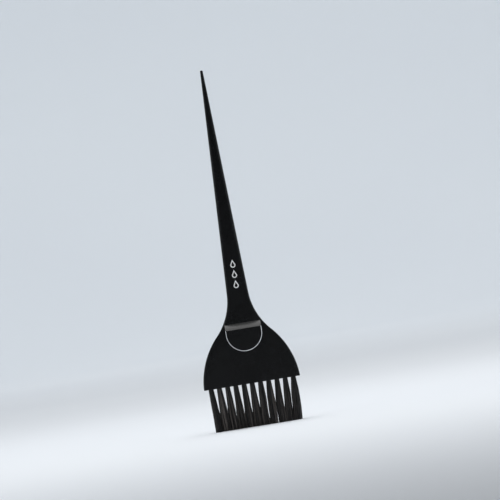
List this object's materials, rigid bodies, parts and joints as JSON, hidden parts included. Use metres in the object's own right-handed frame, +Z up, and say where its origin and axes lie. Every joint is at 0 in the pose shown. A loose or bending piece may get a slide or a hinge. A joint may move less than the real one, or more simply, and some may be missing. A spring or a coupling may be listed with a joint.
{
  "type": "tint brush",
  "caption": "Flat-headed tint brush: moulded handle with a pointed parting tail, D-shaped bowl hook over a through window, and rows of stapled bristle tufts that flex.",
  "frame": {"origin": "middle of the trimmed bristle edge, midway between the two rows of tufts", "axes": "+Z up the handle to the tail's tip, +X across the head, -Y to the front where the bowl hook stands"},
  "size_m": [0.0584, 0.0121, 0.216],
  "materials": {
    "moulded_handle": "smooth moulded black plastic, satin gloss",
    "bristle": "black nylon filaments with a soft sheen",
    "anchor_wire": "flat drawn wire"
  },
  "bodies": {
    "handle": {"handle": "moulded_handle", "anchor_staples": "anchor_wire", "tuft_root_front_01": "bristle", "tuft_root_front_02": "bristle", "tuft_root_front_03": "bristle", "tuft_root_front_04": "bristle", "tuft_root_front_05": "bristle", "tuft_root_front_06": "bristle", "tuft_root_front_07": "bristle", "tuft_root_front_08": "bristle", "tuft_root_front_09": "bristle", "tuft_root_front_10": "bristle", "tuft_root_front_11": "bristle", "tuft_root_rear_01": "bristle", "tuft_root_rear_02": "bristle", "tuft_root_rear_03": "bristle", "tuft_root_rear_04": "bristle", "tuft_root_rear_05": "bristle", "tuft_root_rear_06": "bristle", "tuft_root_rear_07": "bristle", "tuft_root_rear_08": "bristle", "tuft_root_rear_09": "bristle", "tuft_root_rear_10": "bristle", "tuft_root_rear_11": "bristle"},
    "bristles": {"tuft_front_01": "bristle", "tuft_front_02": "bristle", "tuft_front_03": "bristle", "tuft_front_04": "bristle", "tuft_front_05": "bristle", "tuft_front_06": "bristle", "tuft_front_07": "bristle", "tuft_front_08": "bristle", "tuft_front_09": "bristle", "tuft_front_10": "bristle", "tuft_front_11": "bristle", "tuft_rear_01": "bristle", "tuft_rear_02": "bristle", "tuft_rear_03": "bristle", "tuft_rear_04": "bristle", "tuft_rear_05": "bristle", "tuft_rear_06": "bristle", "tuft_rear_07": "bristle", "tuft_rear_08": "bristle", "tuft_rear_09": "bristle", "tuft_rear_10": "bristle", "tuft_rear_11": "bristle"}
  },
  "joints": [
    {"name": "bristle_flex", "type": "hinge", "parent": "handle", "child": "bristles", "pos_m": [0, 0, 0.0221], "axis": [1, 0, 0], "range_deg": [-30, 30], "stiffness_Nm_per_rad": 0.024}
  ]
}
